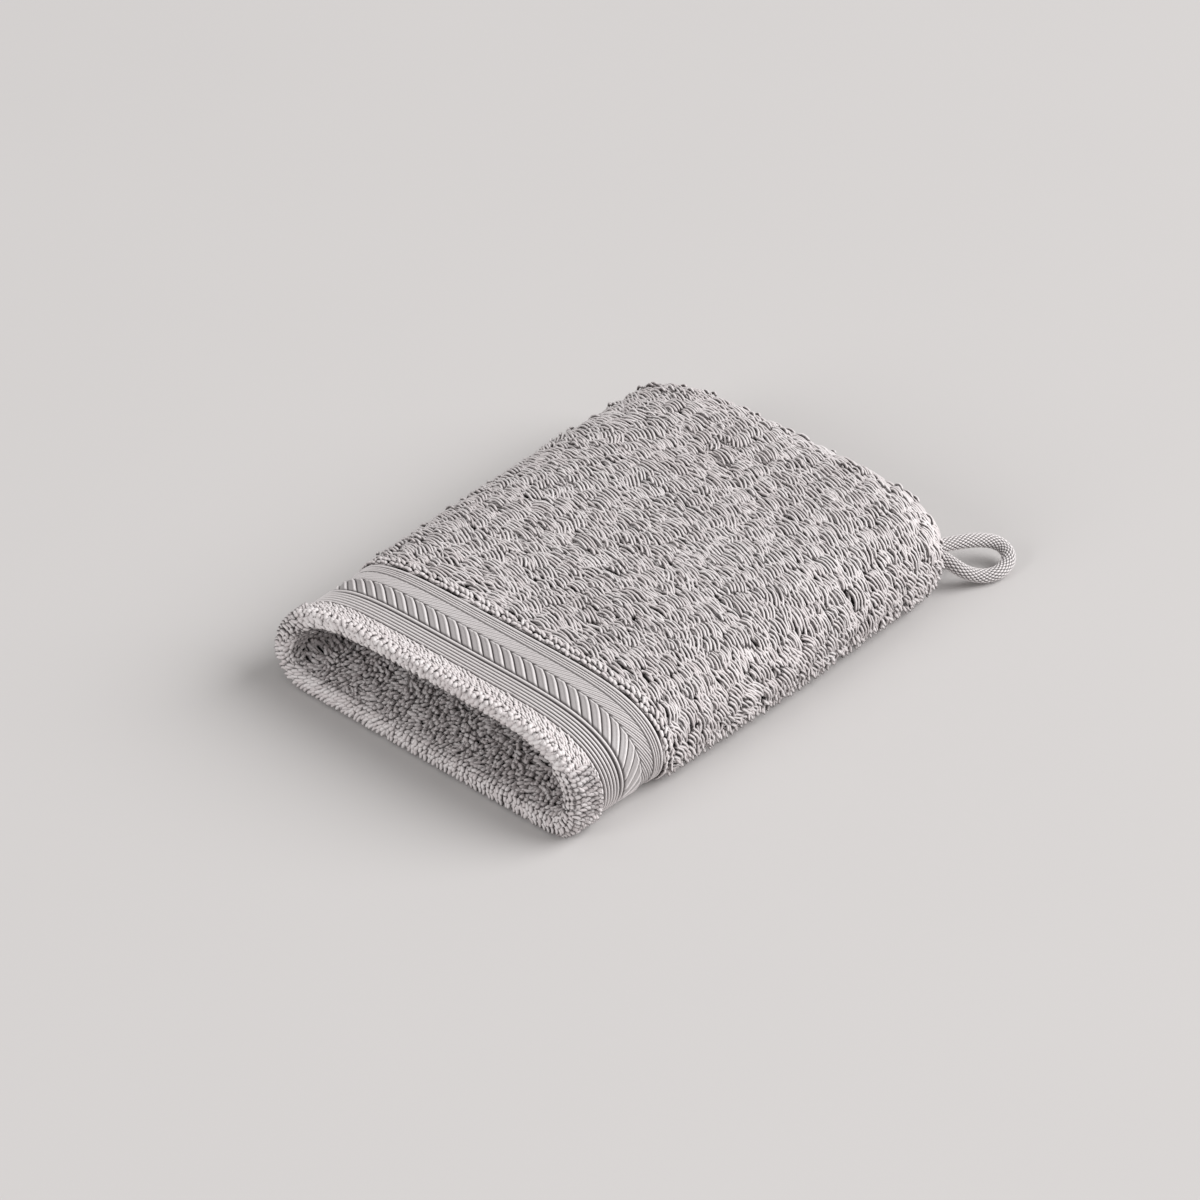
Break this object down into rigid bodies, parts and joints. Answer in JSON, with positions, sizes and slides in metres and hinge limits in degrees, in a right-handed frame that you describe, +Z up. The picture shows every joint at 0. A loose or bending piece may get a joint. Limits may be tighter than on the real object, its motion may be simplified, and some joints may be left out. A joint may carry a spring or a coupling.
{
  "type": "wash mitt",
  "caption": "Terry wash mitt lying flat, mouth slightly open, with looped pile, a woven border band round the cuff, a rolled rim and a braided hanging loop at a closed corner.",
  "frame": {"origin": "middle of the underside, on the surface that the mitt lies on, measured without the hanging loop", "axes": "+Y from the open mouth to the closed end, +X across the hand towards the side with the loop, +Z up through the flat of the mitt"},
  "size_m": [0.1627, 0.2301, 0.0374],
  "materials": {
    "terry_cloth": "light warm grey cotton terry, loops uncut on both faces",
    "woven_band": "flat woven cotton, ribs and herringbone twill",
    "braided_cord": "round braided cotton cord"
  },
  "bodies": {
    "root": {"terry_bag": "terry_cloth", "border_band": "woven_band", "hanging_loop": "braided_cord"}
  },
  "joints": []
}
